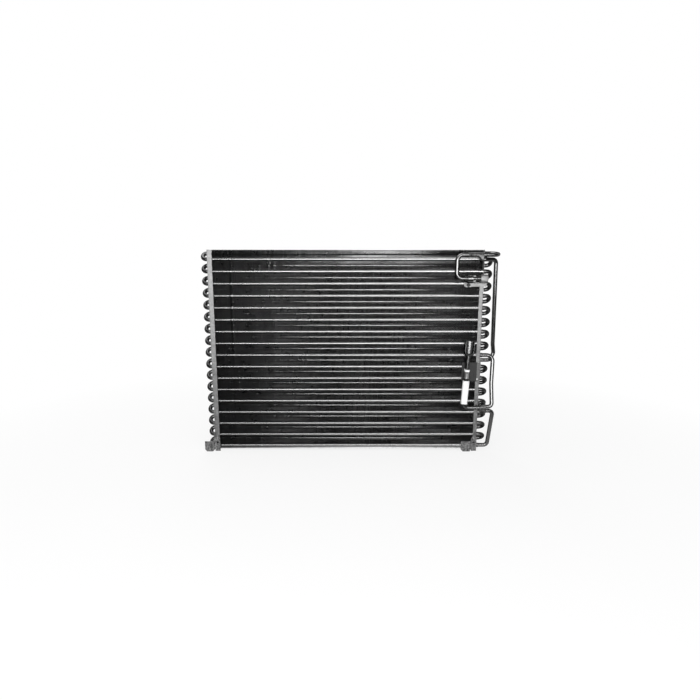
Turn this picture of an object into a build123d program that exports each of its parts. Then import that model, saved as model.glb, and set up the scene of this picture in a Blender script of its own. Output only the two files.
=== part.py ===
"""Two-row plate-fin condenser with serpentine tubes, end plates, feed and liquid lines.

X runs along the tubes, Y runs from the front face to the back, Z is up.
The origin is the middle of the two foot holes, on the front face of the feet. Sizes are in mm.
"""

from build123d import *
import math
import os

# Tube bank
TUBE_OD = 9.525
TUBE_PITCH = 28.575
ROW_SPACING = 12.5
ROW_TUBES = 17
UPPER_CIRCUIT_TUBES = 9
LOWEST_TUBE_Z = -10.0
TUBE_CLEARANCE = 0.25
HAIRPIN_STANDOFF = 3.0
STUB_LENGTH = 6.0
RETURN_BEND_RUN = 2.8

# Tubes are drawn with flat sides, and each bend as short straight steps
TUBE_SIDES = 10
HOLE_SIDES = 8
CUP_SIDES = 16
BEND_STEP = 30.0

# Fins
FIN_COUNT = 48
FIN_THICKNESS = 0.3
FIN_EDGE = 1.24
FIN_MARGIN = 7.2
FIN_LEFT_GAP = 10.8
FIN_END_GAP = 1.5

# End plates, folded from sheet into channels
SPAN = 650.0
SHEET = 1.2
FOLD_RADIUS = 0.8
LEFT_FLANGE = 11.5
RIGHT_FLANGE = 9.5
FIN_GAP = 0.3
PLATE_DROP = 5.0

# Feet
FOOT_SHEET = 1.5
FOOT_HOLE_RADIUS = 2.5
FOOT_HOLE_INSET = 6.5
FOOT_STRIP = 12.5
FOOT_STEP = 4.5
FOOT_STEP_RUN = 5.0
FOOT_TOP_Z = 19.5
FOOT_SHOULDER_Z = 11.0
TAB_TOP_Z = 4.0
TAB_HEIGHT = 26.0
LEFT_TAB = 19.0
RIGHT_TAB = 22.0
TAB_CORNER = 5.0
PAD_MARGIN = 4.0
PAD_RAISE = 1.0
RIVET_RADIUS = 1.6
RIVET_HEAD_RADIUS = 3.0
RIVET_HEAD = 1.4
RIVET_Z = 10.0
RIVET_CLEARANCE = 0.1

# Lines in front of the fins and beside the right end plate
LINE_OD = 9.525
LINE_GAP = 1.3
SIDE_GAP = 2.0
LINE_BEND = 9.5

# Inlet line
INLET_DROP = 66.7
INLET_INSET = 49.0
COLLAR_LENGTH = 6.0
COLLAR_RADIUS = 7.2
CAGE_LENGTH = 19.0
CAGE_RADIUS = 8.9
CAGE_WALL = 1.0
PILOT_RADIUS = 5.5
PILOT_LENGTH = 12.0
RING_LENGTH = 6.5
RING_RADIUS = 7.0
RING_OFFSET = 2.5
NUT_LENGTH = 16.5
NUT_FLATS = 16.6
NUT_BORE_RADIUS = 6.0
NUT_BORE_DEPTH = 12.0
LOOP_REACH = 17.9
LOOP_BEND = 13.0
LOOP_TOP_DROP = 12.6
SLEEVE_INSET = 42.3
SLEEVE_LENGTH = 20.0
SLEEVE_RADIUS = 5.6
DISTRIBUTOR_LENGTH = 15.0
OUTLET_SPREAD = 10.2
DISTRIBUTOR_WALL = 1.0
U_LOOP_OFFSET = 1.2
U_LOOP_BEND = 15.6
FEED_STRAIGHT = 6.0
FEED_CORNER_Y = -1.0
FEED_CORNER_INSET = 4.3
FEED_SETBACK = 2.8
FEED_FALL = 40.0
FEED_BULGE = 7.7
FEED_BULGE_RISE = 18.0

# Inlet bracket, clamp and screw
ARM_HEIGHT = 8.0
ARM_LEFT_INSET = 45.5
ARM_OVERHANG = 6.5
ARM_EAR_INSET = 28.5
ARM_DROP = 14.7
ARM_LAP = 12.0
ARM_FLANGE_GAP = 4.3
ARM_EAR = 3.5
ARM_EAR_HEIGHT = 4.0
CLAMP_SHEET = 1.2
CLAMP_WIDTH = 13.0
CLAMP_GAP = 0.1
SCREW_RADIUS = 2.4
SCREW_CLEARANCE = 0.2
SCREW_HEAD_FLATS = 8.0
SCREW_HEAD = 3.5
SCREW_TAIL = 0.8

# Liquid line, from the tee to the outlet
TEE_Z = 89.5
TEE_INSET = 1.0
TEE_LENGTH = 16.0
TEE_SPREAD = 10.2
TEE_WALL = 1.0
LIQUID_Z = 92.0
RISER_FOOT_INSET = 38.8
RISER_BEND = 10.5
RISER_TOP_INSET = 31.8
RISER_TOP_Z = 220.0
LABEL_START = 10.0
LABEL_LENGTH = 57.0
LABEL_WIDTH = 15.6
LABEL_SHEET = 0.5
LABEL_GAP = 0.3
FERRULE_START = 73.0
FERRULE_LENGTH = 15.5
FERRULE_RADIUS = 5.3
CLIP_START = 89.5
CLIP_HEIGHT = 5.0
CLIP_SHEET = 1.2
CLIP_TAIL = 9.0
CUP_RADIUS = 12.2
CUP_WALL = 1.0
CUP_HEIGHT = 34.0
CUP_ROUND = 7.0
OUTLET_RADIUS = 7.94
PRONG_WIDTH = 12.0

# Pipes from the two circuits to the tee
UPPER_OUTLET_OFFSET = 3.2
UPPER_OUTLET_BEND = 15.0
UPPER_OUTLET_FALL = 68.6
UPPER_OUTLET_MID_Y = -1.0
UPPER_OUTLET_MID_OFFSET = -1.0
LOWER_OUTLET_INSET = 1.3
LOWER_OUTLET_OFFSET = 2.5
OUTLET_HEIGHT = 36.0

# Centre bracket behind the riser
BRACKET_INSET = 44.0
BRACKET_BOTTOM_Z = 155.0
BRACKET_HEIGHT = 47.0
BRACKET_LIP = 2.5

TUBE_RADIUS = TUBE_OD / 2
LINE_RADIUS = LINE_OD / 2
WEB_X = SPAN / 2
INNER_X = WEB_X - SHEET
PLATE_FRONT_Y = FOOT_SHEET
FIN_FRONT_Y = PLATE_FRONT_Y + SHEET + FIN_GAP
FRONT_ROW_Y = FIN_FRONT_Y + FIN_EDGE + TUBE_CLEARANCE + TUBE_RADIUS
BACK_ROW_Y = FRONT_ROW_Y + ROW_SPACING
FIN_BACK_Y = BACK_ROW_Y + FRONT_ROW_Y - FIN_FRONT_Y
PLATE_BACK_Y = FIN_BACK_Y + FIN_GAP + SHEET
HOLE_RADIUS = TUBE_RADIUS + TUBE_CLEARANCE
FIN_BOTTOM_Z = LOWEST_TUBE_Z - FIN_MARGIN
FIN_TOP_Z = LOWEST_TUBE_Z + (ROW_TUBES - 0.5) * TUBE_PITCH + FIN_MARGIN
PLATE_BOTTOM_Z = FIN_BOTTOM_Z - PLATE_DROP
STUB_X = WEB_X + STUB_LENGTH
BEND_RADIUS = math.hypot(ROW_SPACING, TUBE_PITCH / 2) / 2
RETURN_APEX_X = STUB_X + RETURN_BEND_RUN + BEND_RADIUS + TUBE_RADIUS
SIDE_LINE_X = RETURN_APEX_X + SIDE_GAP + LINE_RADIUS
LINE_Y = FIN_FRONT_Y - LINE_GAP - CUP_RADIUS
FOOT_HOLE_X = WEB_X - FOOT_HOLE_INSET
FIN_LEFT_X = FIN_LEFT_GAP - INNER_X
INLET_Z = FIN_TOP_Z - INLET_DROP
SCREW_Z = INLET_Z - ARM_DROP
RIGHT_FLANGE_TOP_Z = SCREW_Z - ARM_HEIGHT / 2 - ARM_FLANGE_GAP
INLET_LEFT_X = WEB_X - INLET_INSET
LOOP_X = INLET_LEFT_X - LOOP_REACH
SLEEVE_X = WEB_X - SLEEVE_INSET
U_LOOP_X = SIDE_LINE_X + U_LOOP_OFFSET
TEE_LEFT_X = WEB_X - TEE_INSET
TEE_RIGHT_X = TEE_LEFT_X + TEE_LENGTH
RISER_FOOT_X = WEB_X - RISER_FOOT_INSET
RISER_TOP_X = WEB_X - RISER_TOP_INSET
LOOP_TOP_Z = FIN_TOP_Z - LOOP_TOP_DROP
RISER_TOP = Vector(RISER_TOP_X, LINE_Y, RISER_TOP_Z)
RISER_FOOT = Vector(RISER_FOOT_X, LINE_Y, LIQUID_Z)
RISER_LENGTH = (RISER_TOP - RISER_FOOT).length
RISER_AXIS = (RISER_TOP - RISER_FOOT).normalized()
NUT_X = INLET_LEFT_X + COLLAR_LENGTH + CAGE_LENGTH + PILOT_LENGTH
DISTRIBUTOR_X = SLEEVE_X + SLEEVE_LENGTH + DISTRIBUTOR_LENGTH
SCREW_X = INLET_LEFT_X + COLLAR_LENGTH + CLAMP_WIDTH / 2


def front_tube(index):
    """Y and Z of a front-row tube, counted down from the top."""
    return FRONT_ROW_Y, LOWEST_TUBE_Z + (ROW_TUBES - 1 - index) * TUBE_PITCH


def back_tube(index):
    """Y and Z of a back-row tube, half a pitch above the front tube of the same index."""
    return BACK_ROW_Y, front_tube(index)[1] + TUBE_PITCH / 2


def box(low, high):
    """Box between two corners."""
    size = Vector(*high) - Vector(*low)
    return Pos(*low) * Box(size.X, size.Y, size.Z, align=(Align.MIN,) * 3)


def rounded_route(points, radii):
    """Route through the points with each corner turned into short equal steps of an arc."""
    route = [Vector(*points[0])]
    for before, corner, after, radius in zip(points, points[1:], points[2:], radii):
        before, corner, after = Vector(*before), Vector(*corner), Vector(*after)
        run_in, run_out = (corner - before).normalized(), (after - corner).normalized()
        turn = math.radians(run_in.get_angle(run_out))
        steps = max(1, math.ceil(turn / math.radians(BEND_STEP) - 0.01))
        inward = (run_out - run_in).normalized()
        centre = corner + inward * (radius / math.cos(turn / 2))
        along = (run_in + run_out).normalized()
        for step in range(steps):
            angle = turn * ((step + 0.5) / steps - 0.5)
            spoke = along * math.sin(angle) - inward * math.cos(angle)
            route.append(centre + spoke * (radius / math.cos(turn / steps / 2)))
    route.append(Vector(*points[-1]))
    return route


def tube(points, radius, *bends):
    """Flat-sided tube along a route; bends are the corners' radii, the last one for all that follow."""
    missing = len(points) - 2 - len(bends)
    route = rounded_route(points, list(bends) + [bends[-1]] * missing)
    start = Plane(origin=route[0], x_dir=(0, 1, 0), z_dir=route[1] - route[0])
    section = start * ring(radius)
    return sweep(section, path=Polyline(*route), transition=Transition.RIGHT)


def across_line(x, z):
    """Plane across a line in front of the fins, facing right."""
    return Plane(origin=(x, LINE_Y, z), x_dir=(0, 1, 0), z_dir=(1, 0, 0))


def ring(radius):
    """Outline with the flat sides of a tube."""
    return RegularPolygon(radius, TUBE_SIDES)


def u_tube(first, second, start_x, bend_x):
    """U-shaped tube joining two tube ends at start_x, bent round beyond bend_x."""
    reach = bend_x + math.copysign(BEND_RADIUS, bend_x - start_x)
    corners = [(start_x, *first), (reach, *first), (reach, *second), (start_x, *second)]
    return tube(corners, TUBE_RADIUS, BEND_RADIUS)


def hairpin(index):
    """Long tube bent back on itself past the left end plate."""
    bend_x = -WEB_X - HAIRPIN_STANDOFF
    return u_tube(back_tube(index), front_tube(index), STUB_X, bend_x)


def return_bend(index):
    """Short bend brazed to the right ends of two neighbouring hairpins."""
    return u_tube(front_tube(index), back_tube(index + 1), STUB_X, STUB_X + RETURN_BEND_RUN)


def fins():
    """Thin upright fins, each open along the two rows of tubes."""
    blank = box(
        (0, FIN_FRONT_Y, FIN_BOTTOM_Z), (FIN_THICKNESS, FIN_BACK_Y, FIN_TOP_Z)
    )
    for place in (front_tube, back_tube):
        y, top = place(0)
        bottom = place(ROW_TUBES - 1)[1]
        low = (-FIN_THICKNESS, y - HOLE_RADIUS, bottom - HOLE_RADIUS)
        blank -= box(low, (2 * FIN_THICKNESS, y + HOLE_RADIUS, top + HOLE_RADIUS))
    room = INNER_X - FIN_END_GAP - FIN_THICKNESS - FIN_LEFT_X
    pitch = room / (FIN_COUNT - 1)
    return [Pos(FIN_LEFT_X + i * pitch, 0, 0) * blank for i in range(FIN_COUNT)]


def end_plate(side, flange):
    """Sheet channel with a hole for every tube; side is -1 on the left and 1 on the right."""
    depth = PLATE_BACK_Y - PLATE_FRONT_Y
    outer = RectangleRounded(2 * flange, depth, FOLD_RADIUS + SHEET)
    inner = RectangleRounded(2 * (flange - SHEET), depth - 2 * SHEET, FOLD_RADIUS)
    section = (outer - inner) & (Pos(side * flange / 2, 0) * Rectangle(flange, depth))
    middle = Pos(side * (WEB_X - flange), (PLATE_FRONT_Y + PLATE_BACK_Y) / 2, PLATE_BOTTOM_Z)
    plate = extrude(middle * section, FIN_TOP_Z - PLATE_BOTTOM_Z)
    tubes = [place(i) for place in (front_tube, back_tube) for i in range(ROW_TUBES)]
    opening = RegularPolygon(HOLE_RADIUS, HOLE_SIDES, major_radius=False)
    openings = Plane.YZ * (Sketch() + [Pos(y, z) * opening for y, z in tubes])
    cut = extrude(openings, WEB_X + SHEET, both=True)
    near_web = box(
        (min(side * INNER_X, side * (WEB_X + SHEET)), PLATE_FRONT_Y, PLATE_BOTTOM_Z),
        (max(side * INNER_X, side * (WEB_X + SHEET)), PLATE_BACK_Y, FIN_TOP_Z),
    )
    plate -= cut & near_web
    plate -= fastener_holes(side)
    if side > 0:
        low = (INNER_X - flange, PLATE_FRONT_Y - SHEET, RIGHT_FLANGE_TOP_Z)
        plate -= box(low, (INNER_X, PLATE_FRONT_Y + 2 * SHEET, FIN_TOP_Z + SHEET))
    return plate


def fastener_holes(side):
    """Round foot hole and flat-sided rivet hole, through the foot and the flange behind it."""
    reach = PLATE_FRONT_Y + SHEET
    start = Plane(origin=(side * FOOT_HOLE_X, -PAD_RAISE, 0), x_dir=(1, 0, 0), z_dir=(0, 1, 0))
    hole = extrude(start * Circle(FOOT_HOLE_RADIUS), reach + 2 * PAD_RAISE)
    rivet = RegularPolygon(RIVET_RADIUS + RIVET_CLEARANCE, HOLE_SIDES, major_radius=False)
    rivet_hole = extrude(start * Pos(0, -RIVET_Z) * rivet, reach + 2 * PAD_RAISE)
    return hole + rivet_hole


def foot(side, tab, sheet_y):
    """Pressed foot: a strip on the end plate's flange, a step forward and a padded tab."""
    outer, inner = side * WEB_X, side * (WEB_X - FOOT_STRIP)
    root = min(outer, inner)
    step = root - FOOT_STEP_RUN
    tip = step - tab
    far = max(outer, inner)
    face = [(far, 0), (root, 0), (step, -FOOT_STEP), (tip, -FOOT_STEP)]
    back = [(x, y + sheet_y) for x, y in reversed(face)]
    folded = make_face(Polyline(*face, *back, close=True))
    folded = extrude(Pos(0, 0, PLATE_BOTTOM_Z) * folded, FOOT_TOP_Z - PLATE_BOTTOM_Z)
    tab_low = TAB_TOP_Z - TAB_HEIGHT
    peak = side * FOOT_HOLE_X
    outline = Polyline(
        (far, PLATE_BOTTOM_Z), (far, FOOT_SHOULDER_Z), (peak, FOOT_TOP_Z), (root, FOOT_SHOULDER_Z),
        (step, TAB_TOP_Z), (tip, TAB_TOP_Z), (tip, tab_low + TAB_CORNER),
        (tip + TAB_CORNER, tab_low), (step, tab_low), (root, PLATE_BOTTOM_Z + TAB_CORNER),
        (root, PLATE_BOTTOM_Z), close=True,
    )
    front = Plane(origin=(0, -2 * FOOT_STEP, 0), x_dir=(1, 0, 0), z_dir=(0, -1, 0))
    piece = folded & extrude(front * make_face(outline), -4 * FOOT_STEP)
    pad = box(
        (tip + PAD_MARGIN, -FOOT_STEP - PAD_RAISE, tab_low + PAD_MARGIN),
        (step - PAD_MARGIN / 2, -FOOT_STEP, TAB_TOP_Z - PAD_MARGIN),
    )
    return piece + pad - fastener_holes(side)


def foot_rivets():
    """One headed rivet through each foot and its flange."""
    head = RegularPolygon(RIVET_HEAD_RADIUS, HOLE_SIDES)
    shank = RegularPolygon(RIVET_RADIUS, HOLE_SIDES, major_radius=False)
    rivets = []
    for side in (-1, 1):
        seat = Plane(origin=(side * FOOT_HOLE_X, 0, RIVET_Z), x_dir=(1, 0, 0), z_dir=(0, -1, 0))
        rivets.append(
            extrude(seat * head, RIVET_HEAD) + extrude(seat * shank, -PLATE_FRONT_Y - SHEET)
        )
    return rivets


def between_prongs(place, length):
    """Two blocks, front and back, that leave only two prongs of a sleeve round the place's axis."""
    reach = 2 * CUP_RADIUS
    blocks = [Pos(side * (PRONG_WIDTH + reach) / 2, 0) * Rectangle(reach, 2 * reach) for side in (-1, 1)]
    return extrude(place * (Sketch() + blocks), length)


def inlet_fitting():
    """Collar, two-pronged cage and ringed pilot, brazed to the end of the inlet loop."""
    cage_x = INLET_LEFT_X + COLLAR_LENGTH
    ring_x = cage_x + CAGE_LENGTH + RING_OFFSET
    collar = extrude(across_line(INLET_LEFT_X, INLET_Z) * ring(COLLAR_RADIUS), COLLAR_LENGTH)
    cage = extrude(across_line(cage_x, INLET_Z) * ring(CAGE_RADIUS), CAGE_LENGTH)
    inside = across_line(cage_x + CAGE_WALL, INLET_Z)
    cage -= extrude(inside * ring(CAGE_RADIUS - CAGE_WALL), CAGE_LENGTH)
    cage -= between_prongs(across_line(cage_x + CLAMP_WIDTH, INLET_Z), CAGE_LENGTH)
    pilot = extrude(across_line(cage_x, INLET_Z) * ring(PILOT_RADIUS), NUT_X - cage_x)
    bead = extrude(across_line(ring_x, INLET_Z) * ring(RING_RADIUS), RING_LENGTH)
    return collar + cage + pilot + bead


def inlet_nut():
    """Hexagon union nut with a blind bore, on the end of the inlet pilot."""
    hexagon = RegularPolygon(NUT_FLATS / 2, 6, major_radius=False)
    nut = extrude(across_line(NUT_X, INLET_Z) * hexagon, NUT_LENGTH)
    floor = across_line(NUT_X + NUT_LENGTH - NUT_BORE_DEPTH, INLET_Z)
    return nut - extrude(floor * Circle(NUT_BORE_RADIUS), NUT_BORE_DEPTH)


def inlet_loop():
    """Pipe from the inlet fitting, round to the left and up to the distributor sleeve."""
    corners = [
        (INLET_LEFT_X, LINE_Y, INLET_Z), (LOOP_X, LINE_Y, INLET_Z),
        (LOOP_X, LINE_Y, LOOP_TOP_Z), (SLEEVE_X, LINE_Y, LOOP_TOP_Z),
    ]
    return tube(corners, LINE_RADIUS, LOOP_BEND)


def tapered_block(left_x, right_x, left_z, right_z, half_depth):
    """Block seen from the front as a trapezium, with its four long edges cut back."""
    (left_low, left_top), (right_low, right_top) = left_z, right_z
    outline = make_face(Polyline(
        (left_x, left_low), (right_x, right_low), (right_x, right_top), (left_x, left_top), close=True,
    ))
    front = Plane(origin=(0, LINE_Y, 0), x_dir=(1, 0, 0), z_dir=(0, -1, 0))
    block = extrude(front * outline, half_depth, both=True)
    long_edges = [edge for edge in block.edges() if abs(edge.tangent_at(0).X) > 0.5]
    return chamfer(long_edges, half_depth / 2)


def distributor():
    """Brazed Y-piece: one sleeve in, two outlets one above the other."""
    neck_x = SLEEVE_X + SLEEVE_LENGTH
    sleeve = extrude(across_line(SLEEVE_X, LOOP_TOP_Z) * ring(SLEEVE_RADIUS), SLEEVE_LENGTH)
    neck = (LOOP_TOP_Z - SLEEVE_RADIUS, LOOP_TOP_Z + SLEEVE_RADIUS)
    edge = LINE_RADIUS + DISTRIBUTOR_WALL
    mouth = (LOOP_TOP_Z - OUTLET_SPREAD - edge, LOOP_TOP_Z + edge)
    return sleeve + tapered_block(neck_x, DISTRIBUTOR_X, neck, mouth, edge)


def upper_feed():
    """Flat U of pipe from the distributor's upper outlet back to the top rear tube."""
    y, z = back_tube(0)
    corners = [
        (DISTRIBUTOR_X, LINE_Y, LOOP_TOP_Z), (U_LOOP_X, LINE_Y, LOOP_TOP_Z),
        (U_LOOP_X, y, z), (STUB_X, y, z),
    ]
    return tube(corners, LINE_RADIUS, U_LOOP_BEND)


def lower_feed():
    """Long pipe from the lower outlet, down and back past the return bends to the lower circuit."""
    y, z = back_tube(UPPER_CIRCUIT_TUBES)
    top_z = LOOP_TOP_Z - OUTLET_SPREAD
    corners = [
        (DISTRIBUTOR_X, LINE_Y, top_z),
        (DISTRIBUTOR_X + FEED_STRAIGHT, LINE_Y, top_z),
        (SIDE_LINE_X - FEED_CORNER_INSET, FEED_CORNER_Y, top_z),
        (SIDE_LINE_X + FEED_CORNER_INSET, y - FEED_SETBACK, z + FEED_FALL),
        (SIDE_LINE_X + FEED_BULGE, y, z + FEED_BULGE_RISE),
        (SIDE_LINE_X, y, z),
        (STUB_X, y, z),
    ]
    return tube(corners, LINE_RADIUS, LINE_BEND)


def upper_outlet():
    """Pipe from the upper circuit's last front tube round and down to the top of the tee."""
    y, z = front_tube(UPPER_CIRCUIT_TUBES - 1)
    tee_z = TEE_Z + TEE_SPREAD / 2
    corners = [
        (STUB_X, y, z),
        (SIDE_LINE_X + UPPER_OUTLET_OFFSET, y, z),
        (SIDE_LINE_X + UPPER_OUTLET_MID_OFFSET, UPPER_OUTLET_MID_Y, z - UPPER_OUTLET_FALL),
        (SIDE_LINE_X, LINE_Y, tee_z),
        (TEE_RIGHT_X, LINE_Y, tee_z),
    ]
    return tube(corners, LINE_RADIUS, UPPER_OUTLET_BEND, LINE_BEND)


def lower_outlet():
    """Pipe from the lowest front tube round and up to the bottom of the tee."""
    y, z = front_tube(ROW_TUBES - 1)
    tee_z = TEE_Z - TEE_SPREAD / 2
    corners = [
        (STUB_X, y, z),
        (SIDE_LINE_X - LOWER_OUTLET_INSET, y, z),
        (SIDE_LINE_X + LOWER_OUTLET_OFFSET, LINE_Y, tee_z),
        (TEE_RIGHT_X, LINE_Y, tee_z),
    ]
    return tube(corners, LINE_RADIUS, LINE_BEND)


def tee():
    """Forged block that joins the two outlet pipes to the liquid line."""
    edge = LINE_RADIUS + TEE_WALL
    left = (LIQUID_Z - edge, LIQUID_Z + edge)
    right = (TEE_Z - TEE_SPREAD / 2 - edge, TEE_Z + TEE_SPREAD / 2 + edge)
    return tapered_block(TEE_LEFT_X, TEE_RIGHT_X, left, right, edge)


def liquid_line():
    """Pipe from the tee across the end plate and up the riser to the outlet fitting."""
    corners = [(TEE_LEFT_X, LINE_Y, LIQUID_Z), tuple(RISER_FOOT), tuple(RISER_TOP)]
    return tube(corners, LINE_RADIUS, RISER_BEND)


def on_riser(distance):
    """Plane across the riser, at a distance above the liquid line, facing up it."""
    return Plane(origin=RISER_FOOT + RISER_AXIS * distance, x_dir=(0, 1, 0), z_dir=RISER_AXIS)


def chamfered(width, height, cut):
    """Rectangle with its four corners cut off."""
    return chamfer(Rectangle(width, height).vertices(), cut)


def riser_sleeve(start, length, radius):
    """Sleeve with flat sides round the riser."""
    return extrude(on_riser(start) * (ring(radius) - ring(LINE_RADIUS + CLAMP_GAP)), length)


def label_sleeve():
    """Blank paper sleeve wrapped flat round the riser."""
    depth = 2 * (LINE_RADIUS + LABEL_GAP + LABEL_SHEET)
    cut = depth / 3
    outer = chamfered(depth, LABEL_WIDTH, cut)
    inner = chamfered(depth - 2 * LABEL_SHEET, LABEL_WIDTH - 2 * LABEL_SHEET, cut - LABEL_SHEET / 2)
    return extrude(on_riser(LABEL_START) * (outer - inner), LABEL_LENGTH)


def ferrule():
    """Crimped sleeve round the riser above the label."""
    return riser_sleeve(FERRULE_START, FERRULE_LENGTH, FERRULE_RADIUS)


def riser_clip():
    """Band round the riser with a tail back to the centre bracket."""
    band = riser_sleeve(CLIP_START, CLIP_HEIGHT, LINE_RADIUS + CLAMP_GAP + CLIP_SHEET)
    near = LINE_RADIUS + CLAMP_GAP
    tail = Pos((near - LINE_Y) / 2, 0) * Rectangle(-LINE_Y - near, CLIP_TAIL)
    return band + extrude(on_riser(CLIP_START) * tail, CLIP_HEIGHT)


def outlet_fitting():
    """Round-bottomed cup cut down to two prongs, on either side of the outlet's pilot."""
    cup = extrude(on_riser(RISER_LENGTH) * RegularPolygon(CUP_RADIUS, CUP_SIDES), CUP_HEIGHT)
    base = cup.faces().sort_by(Axis.Z)[0]
    cup = chamfer(base.edges(), CUP_ROUND)
    inside = on_riser(RISER_LENGTH + CUP_ROUND)
    cup -= extrude(inside * RegularPolygon(CUP_RADIUS - CUP_WALL, CUP_SIDES), CUP_HEIGHT)
    cup -= between_prongs(inside, CUP_HEIGHT)
    return cup + extrude(inside * Circle(OUTLET_RADIUS), OUTLET_HEIGHT - CUP_ROUND)


def inlet_bracket():
    """Arm above the right flange, with an ear that stops the clamp and a tab down the flange."""
    left, right = WEB_X - ARM_LEFT_INSET, WEB_X + ARM_OVERHANG
    low, top = SCREW_Z - ARM_HEIGHT / 2, SCREW_Z + ARM_HEIGHT / 2
    ear, inner = WEB_X - ARM_EAR_INSET, WEB_X - RIGHT_FLANGE
    outline = Polyline(
        (left, low), (inner, low), (inner, low - ARM_LAP), (WEB_X, low - ARM_LAP), (WEB_X, low),
        (right, low), (right, top), (ear + ARM_EAR, top), (ear + ARM_EAR, top + ARM_EAR_HEIGHT),
        (ear, top + ARM_EAR_HEIGHT), (ear, top), (left, top), close=True,
    )
    front = Plane(origin=(0, 0, 0), x_dir=(1, 0, 0), z_dir=(0, -1, 0))
    return extrude(front * make_face(outline), -PLATE_FRONT_Y) - screw_hole()


def screw_hole():
    """Flat-sided hole for the clamp screw."""
    hole = RegularPolygon(SCREW_RADIUS + SCREW_CLEARANCE, HOLE_SIDES, major_radius=False)
    seat = Plane(origin=(SCREW_X, -2 * CLAMP_SHEET, SCREW_Z), x_dir=(1, 0, 0), z_dir=(0, 1, 0))
    return extrude(seat * hole, FIN_FRONT_Y + 2 * CLAMP_SHEET)


def inlet_clamp():
    """Band round the inlet cage with a flat tail bolted to the bracket."""
    left = INLET_LEFT_X + COLLAR_LENGTH
    start = across_line(left, INLET_Z)
    bore = ring(CAGE_RADIUS + CLAMP_GAP)
    band = extrude(start * ring(CAGE_RADIUS + CLAMP_GAP + CLAMP_SHEET), CLAMP_WIDTH)
    low = SCREW_Z - ARM_HEIGHT / 2 - CLAMP_SHEET
    tail = box((left, -CLAMP_SHEET, low), (left + CLAMP_WIDTH, 0, INLET_Z))
    return band + tail - extrude(start * bore, CLAMP_WIDTH) - screw_hole()


def clamp_screw():
    """Hexagon screw through the clamp's tail and the bracket."""
    seat = Plane(origin=(SCREW_X, -CLAMP_SHEET, SCREW_Z), x_dir=(1, 0, 0), z_dir=(0, -1, 0))
    head = extrude(seat * RegularPolygon(SCREW_HEAD_FLATS / 2, 6, major_radius=False), SCREW_HEAD)
    shank = RegularPolygon(SCREW_RADIUS, HOLE_SIDES, major_radius=False)
    return head + extrude(seat * shank, -CLAMP_SHEET - PLATE_FRONT_Y - SCREW_TAIL)


def centre_bracket():
    """Plate behind the riser that laps the right flange and hooks round its edge."""
    top = BRACKET_BOTTOM_Z + BRACKET_HEIGHT
    left = WEB_X - BRACKET_INSET
    plate = box((left, 0, BRACKET_BOTTOM_Z), (WEB_X + SHEET, PLATE_FRONT_Y, top))
    lip = box((WEB_X, 0, BRACKET_BOTTOM_Z), (WEB_X + SHEET, PLATE_FRONT_Y + BRACKET_LIP, top))
    return plate + lip


def all_pieces():
    """Every node of the condenser, by name."""
    pieces = {
        "fins": Compound(children=fins()),
        "end_plate_left": end_plate(-1, LEFT_FLANGE),
        "end_plate_right": end_plate(1, RIGHT_FLANGE),
        "foot_left": foot(-1, LEFT_TAB, FOOT_SHEET),
        "foot_right": foot(1, RIGHT_TAB, FOOT_SHEET),
        "foot_rivets": Compound(children=foot_rivets()),
        "inlet_fitting": inlet_fitting(),
        "inlet_nut": inlet_nut(),
        "inlet_loop": inlet_loop(),
        "distributor": distributor(),
        "upper_feed_pipe": upper_feed(),
        "lower_feed_pipe": lower_feed(),
        "upper_outlet_pipe": upper_outlet(),
        "lower_outlet_pipe": lower_outlet(),
        "outlet_tee": tee(),
        "liquid_line": liquid_line(),
        "label_sleeve": label_sleeve(),
        "ferrule": ferrule(),
        "riser_clip": riser_clip(),
        "outlet_fitting": outlet_fitting(),
        "inlet_bracket": inlet_bracket(),
        "inlet_clamp": inlet_clamp(),
        "clamp_screw": clamp_screw(),
        "centre_bracket": centre_bracket(),
    }
    for index in range(ROW_TUBES):
        pieces[f"hairpin_{index + 1:02d}"] = hairpin(index)
        last_of_circuit = index in (UPPER_CIRCUIT_TUBES - 1, ROW_TUBES - 1)
        if not last_of_circuit:
            pieces[f"return_bend_{index + 1:02d}"] = return_bend(index)
    return pieces


os.makedirs("parts", exist_ok=True)
for node, piece in all_pieces().items():
    export_step(piece, f"parts/{node}.step")
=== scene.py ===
"""Looks of a two-row condenser: thin fins, brazed tubes, galvanised end plates, pipework and couplings.

Sizes are in millimetres, as in the part's source, and each mesh is scaled to metres when it is made.
X runs along the tubes, Y to the back and Z up.
"""

import logging
import math
from collections.abc import Callable, Sequence
from dataclasses import dataclass, field
from enum import Enum

import bpy
import numpy as np
from mathutils import Matrix, Vector


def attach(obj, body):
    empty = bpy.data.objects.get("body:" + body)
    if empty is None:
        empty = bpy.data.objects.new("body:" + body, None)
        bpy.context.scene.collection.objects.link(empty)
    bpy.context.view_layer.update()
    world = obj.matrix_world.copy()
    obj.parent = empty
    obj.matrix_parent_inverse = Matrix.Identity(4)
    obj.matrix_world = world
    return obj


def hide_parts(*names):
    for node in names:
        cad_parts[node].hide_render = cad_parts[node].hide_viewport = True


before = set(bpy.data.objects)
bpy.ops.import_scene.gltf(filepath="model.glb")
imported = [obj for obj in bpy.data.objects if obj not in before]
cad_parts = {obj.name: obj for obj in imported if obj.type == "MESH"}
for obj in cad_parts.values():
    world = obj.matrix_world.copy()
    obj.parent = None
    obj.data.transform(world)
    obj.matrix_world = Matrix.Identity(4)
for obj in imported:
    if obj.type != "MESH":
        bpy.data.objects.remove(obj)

log = logging.getLogger("condenser")
MM = 0.001
BODY = "root"
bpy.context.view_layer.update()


class Slot(Enum):
    """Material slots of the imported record."""

    TUBES = "core_tubes"
    FINS = "fins"
    RIVETS = "rivets"
    PIPES = "pipes"
    FITTINGS = "fittings"
    CUP = "cup"
    LABEL = "label"
    FERRULE = "ferrule"
    CLIP = "clip"
    BRACKETS = "brackets"


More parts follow.
